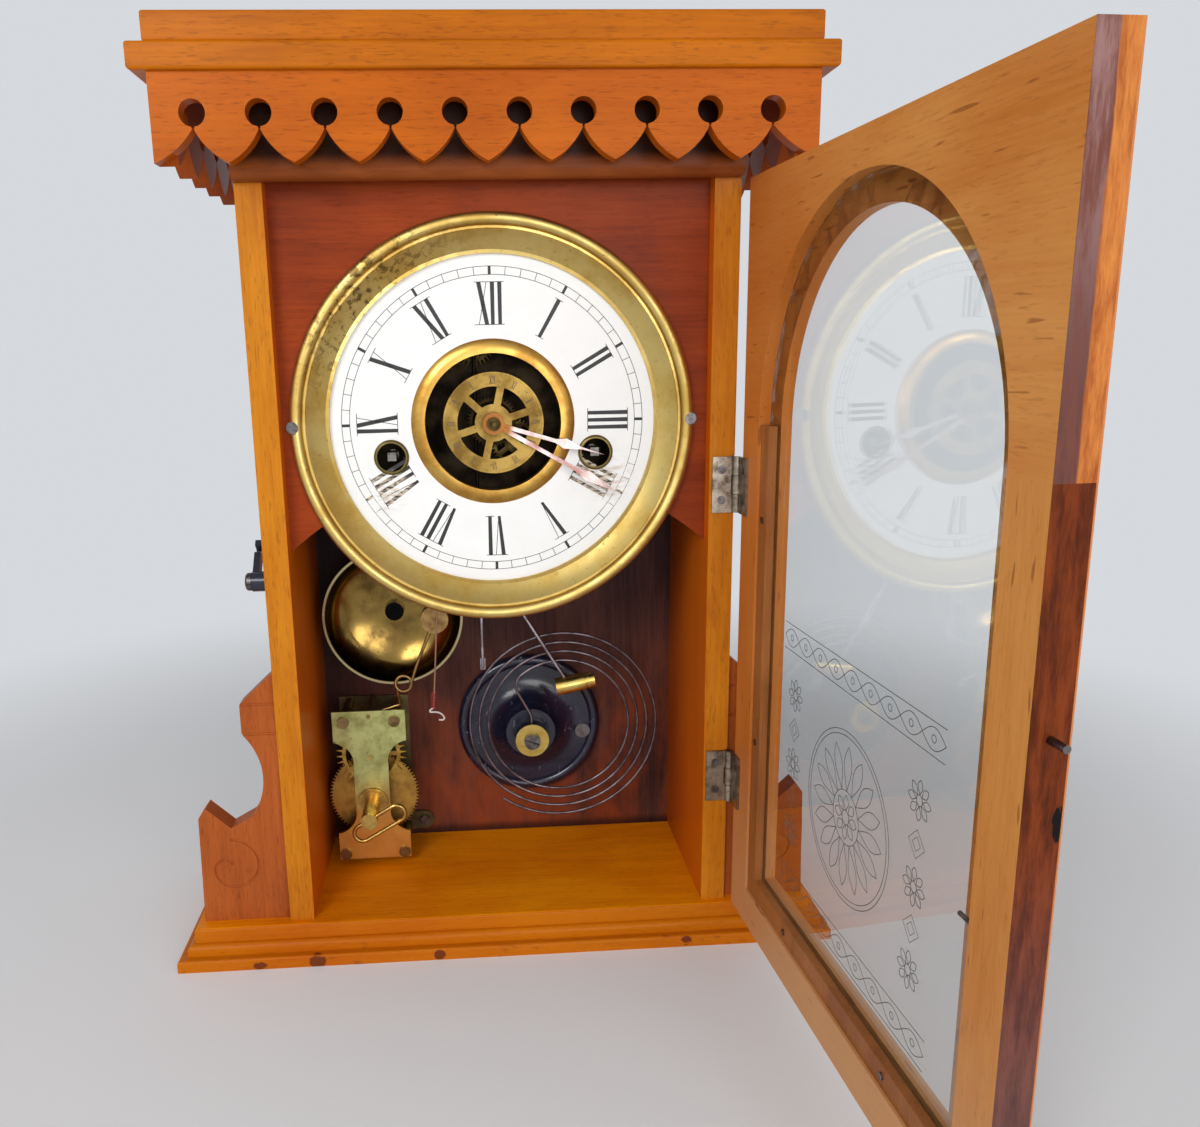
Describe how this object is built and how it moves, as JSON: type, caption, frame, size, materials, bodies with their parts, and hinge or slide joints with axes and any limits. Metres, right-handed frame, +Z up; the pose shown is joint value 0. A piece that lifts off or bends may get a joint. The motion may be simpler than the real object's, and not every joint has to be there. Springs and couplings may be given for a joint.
{
  "type": "shelf clock",
  "caption": "Wooden shelf clock with a toothed valance, scroll brackets and an open glazed door; behind the brass bezel a movement with gong, bell and alarm.",
  "frame": {"origin": "Middle of the underside of the base board, under the closed case.", "axes": "+Z up, +X to the right as seen from the front, +Y from the front to the back."},
  "size_m": [0.2754, 0.2725, 0.3593],
  "materials": {
    "wood_top": "varnished",
    "wood_side": "varnished",
    "wood_base": "varnished",
    "wood_bracket": "varnished",
    "wood_back": "varnished",
    "wood_dial_board": "varnished",
    "wood_door": "varnished",
    "wood_bead": "varnished",
    "brass_bezel": "aged",
    "brass_disc": "satin",
    "brass_bell": "polished",
    "brass_plate": "satin",
    "brass_wheel": "satin",
    "steel_hand": "polished",
    "steel_wire": "dark",
    "steel_part": "satin",
    "brass_key": "satin",
    "steel_screw": "worn",
    "hinge_metal": "tarnished",
    "iron_black": "gloss black",
    "dial_paint": "matt",
    "door_pane": "clear",
    "cord_thread": "matt"
  },
  "bodies": {
    "case": {"cornice_board": "wood_top", "cap_board": "wood_top", "valance_front": "wood_top", "valance_sides": "wood_top", "front_rail": "wood_top", "case_side_left": "wood_side", "case_side_right": "wood_side", "base_board": "wood_base", "bracket_left": "wood_bracket", "bracket_right": "wood_bracket", "back_board": "wood_back", "dial_board": "wood_dial_board", "bezel": "brass_bezel", "dial_rings": "brass_bezel", "alarm_bell": "brass_bell", "gong_washer": "brass_bell", "movement_front_plate": "brass_plate", "movement_back_plate": "brass_plate", "alarm_front_plate": "brass_plate", "alarm_back_plate": "brass_plate", "gong_coil": "steel_wire", "movement_pillars": "steel_part", "alarm_pillars": "steel_part", "mainsprings": "steel_part", "case_screws": "steel_screw", "hinge_case_leaves": "hinge_metal", "gong_base": "iron_black", "dial_plate": "dial_paint", "alarm_cord": "cord_thread"},
    "door": {"door_head": "wood_door", "door_hinge_stile": "wood_door", "door_free_stile": "wood_door", "door_bottom_rail": "wood_door", "door_glass": "door_pane", "door_beads": "wood_bead", "door_nails": "steel_screw", "hinge_door_leaves": "hinge_metal"},
    "latch": {"latch_hook": "iron_black"},
    "minute": {"minute_hand": "steel_hand"},
    "hour": {"hour_hand": "steel_hand"},
    "motion": {"motion_wheel": "brass_wheel"},
    "alarm_setter": {"alarm_disc": "brass_disc"},
    "time_main": {"time_main_wheel": "brass_wheel"},
    "time_winder": {"time_winding_arbor": "steel_part"},
    "time_second": {"time_second_wheel": "brass_wheel"},
    "centre": {"centre_wheel": "brass_wheel"},
    "third": {"third_wheel": "brass_wheel"},
    "escape": {"escape_wheel": "brass_wheel"},
    "strike_main": {"strike_main_wheel": "brass_wheel"},
    "strike_winder": {"strike_winding_arbor": "steel_part"},
    "strike_second": {"strike_second_wheel": "brass_wheel"},
    "fly": {"strike_fly": "brass_wheel"},
    "verge": {"verge_crutch": "steel_wire"},
    "pendulum": {"pendulum_rod": "steel_wire"},
    "gong_hammer": {"gong_hammer_arm": "steel_wire", "gong_hammer_head": "brass_bell"},
    "alarm_main": {"alarm_main_wheel": "brass_wheel"},
    "alarm_escape": {"alarm_escape_wheel": "brass_wheel"},
    "alarm_winder": {"alarm_key": "brass_key"},
    "bell_hammer": {"alarm_hammer": "steel_wire"}
  },
  "joints": [
    {"name": "door_swing", "type": "hinge", "parent": "case", "child": "door", "pos_m": [0.093, -0.0356, 0.2208], "axis": [0, 0, 1], "range_deg": [-94.2, 20]},
    {"name": "latch_turn", "type": "hinge", "parent": "case", "child": "latch", "pos_m": [-0.0979, -0.0284, 0.16095], "axis": [1, 0, 0], "range_deg": [0, 121.92]},
    {"name": "minute_turn", "type": "hinge", "parent": "case", "child": "minute", "pos_m": [-0.0013, -0.033, 0.2208], "axis": [0, 1, 0], "continuous": true},
    {"name": "hour_turn", "type": "hinge", "parent": "case", "child": "hour", "pos_m": [-0.0013, -0.0304, 0.2208], "axis": [0, 1, 0], "continuous": true},
    {"name": "motion_turn", "type": "hinge", "parent": "case", "child": "motion", "pos_m": [0.00719, -0.019, 0.21232], "axis": [0, 1, 0], "continuous": true},
    {"name": "alarm_set_turn", "type": "hinge", "parent": "case", "child": "alarm_setter", "pos_m": [-0.0013, -0.028, 0.2208], "axis": [0, 1, 0], "continuous": true},
    {"name": "third_turn", "type": "hinge", "parent": "case", "child": "third", "pos_m": [-0.01092, -0.0059, 0.23602], "axis": [0, 1, 0], "continuous": true},
    {"name": "escape_turn", "type": "hinge", "parent": "case", "child": "escape", "pos_m": [-0.0081, -0.0134, 0.25105], "axis": [0, 1, 0], "continuous": true},
    {"name": "centre_turn", "type": "hinge", "parent": "case", "child": "centre", "pos_m": [-0.0013, -0.0019, 0.2208], "axis": [0, 1, 0], "continuous": true},
    {"name": "time_second_turn", "type": "hinge", "parent": "case", "child": "time_second", "pos_m": [0.01661, 0.0026, 0.22262], "axis": [0, 1, 0], "continuous": true},
    {"name": "time_main_turn", "type": "hinge", "parent": "case", "child": "time_main", "pos_m": [0.03889, 0.008, 0.20809], "axis": [0, 1, 0], "continuous": true},
    {"name": "time_winding", "type": "hinge", "parent": "case", "child": "time_winder", "pos_m": [0.03889, -0.0104, 0.20809], "axis": [0, 1, 0], "continuous": true},
    {"name": "strike_second_turn", "type": "hinge", "parent": "case", "child": "strike_second", "pos_m": [-0.02739, 0.0026, 0.23065], "axis": [0, 1, 0], "continuous": true},
    {"name": "strike_main_turn", "type": "hinge", "parent": "case", "child": "strike_main", "pos_m": [-0.04149, 0.008, 0.20809], "axis": [0, 1, 0], "continuous": true},
    {"name": "fly_turn", "type": "hinge", "parent": "case", "child": "fly", "pos_m": [-0.03314, 0.0026, 0.24644], "axis": [0, 1, 0], "continuous": true},
    {"name": "strike_winding", "type": "hinge", "parent": "case", "child": "strike_winder", "pos_m": [-0.04149, -0.0104, 0.20809], "axis": [0, 1, 0], "continuous": true},
    {"name": "pendulum_swing", "type": "hinge", "parent": "case", "child": "pendulum", "pos_m": [-0.0081, -0.0156, 0.27285], "axis": [0, 1, 0], "range_deg": [-4, 4]},
    {"name": "verge_rock", "type": "hinge", "parent": "case", "child": "verge", "pos_m": [-0.0081, -0.0134, 0.26445], "axis": [0, 1, 0], "range_deg": [-5.5, 5.5]},
    {"name": "gong_hammer_lift", "type": "hinge", "parent": "case", "child": "gong_hammer", "pos_m": [-0.0013, 0.0127, 0.1828], "axis": [0, 1, 0], "range_deg": [0, 5], "stiffness_Nm_per_rad": 0.05, "springref_deg": -5.73},
    {"name": "alarm_escape_turn", "type": "hinge", "parent": "case", "child": "alarm_escape", "pos_m": [-0.06006, 0.0134, 0.06879], "axis": [0, 1, 0], "continuous": true},
    {"name": "alarm_main_turn", "type": "hinge", "parent": "case", "child": "alarm_main", "pos_m": [-0.06006, 0.0188, 0.0468], "axis": [0, 1, 0], "continuous": true},
    {"name": "alarm_winding", "type": "hinge", "parent": "case", "child": "alarm_winder", "pos_m": [-0.06006, -0.0104, 0.0468], "axis": [0, 1, 0], "continuous": true},
    {"name": "bell_hammer_rock", "type": "hinge", "parent": "case", "child": "bell_hammer", "pos_m": [-0.06006, 0.0134, 0.0882], "axis": [0, 1, 0], "range_deg": [-5, 3]}
  ],
  "couplings": [
    {"joint": "escape_turn", "follows": "third_turn", "ratio": -7.5},
    {"joint": "centre_turn", "follows": "third_turn", "ratio": -0.125},
    {"joint": "time_second_turn", "follows": "third_turn", "ratio": 0.03125},
    {"joint": "time_main_turn", "follows": "third_turn", "ratio": -0.0058594},
    {"joint": "strike_main_turn", "follows": "strike_second_turn", "ratio": -0.1875},
    {"joint": "fly_turn", "follows": "strike_second_turn", "ratio": -6},
    {"joint": "motion_turn", "follows": "minute_turn", "ratio": -0.33333},
    {"joint": "hour_turn", "follows": "minute_turn", "ratio": 0.083333},
    {"joint": "alarm_main_turn", "follows": "alarm_escape_turn", "ratio": -0.092105},
    {"joint": "verge_rock", "follows": "pendulum_swing", "ratio": 1.35}
  ]
}
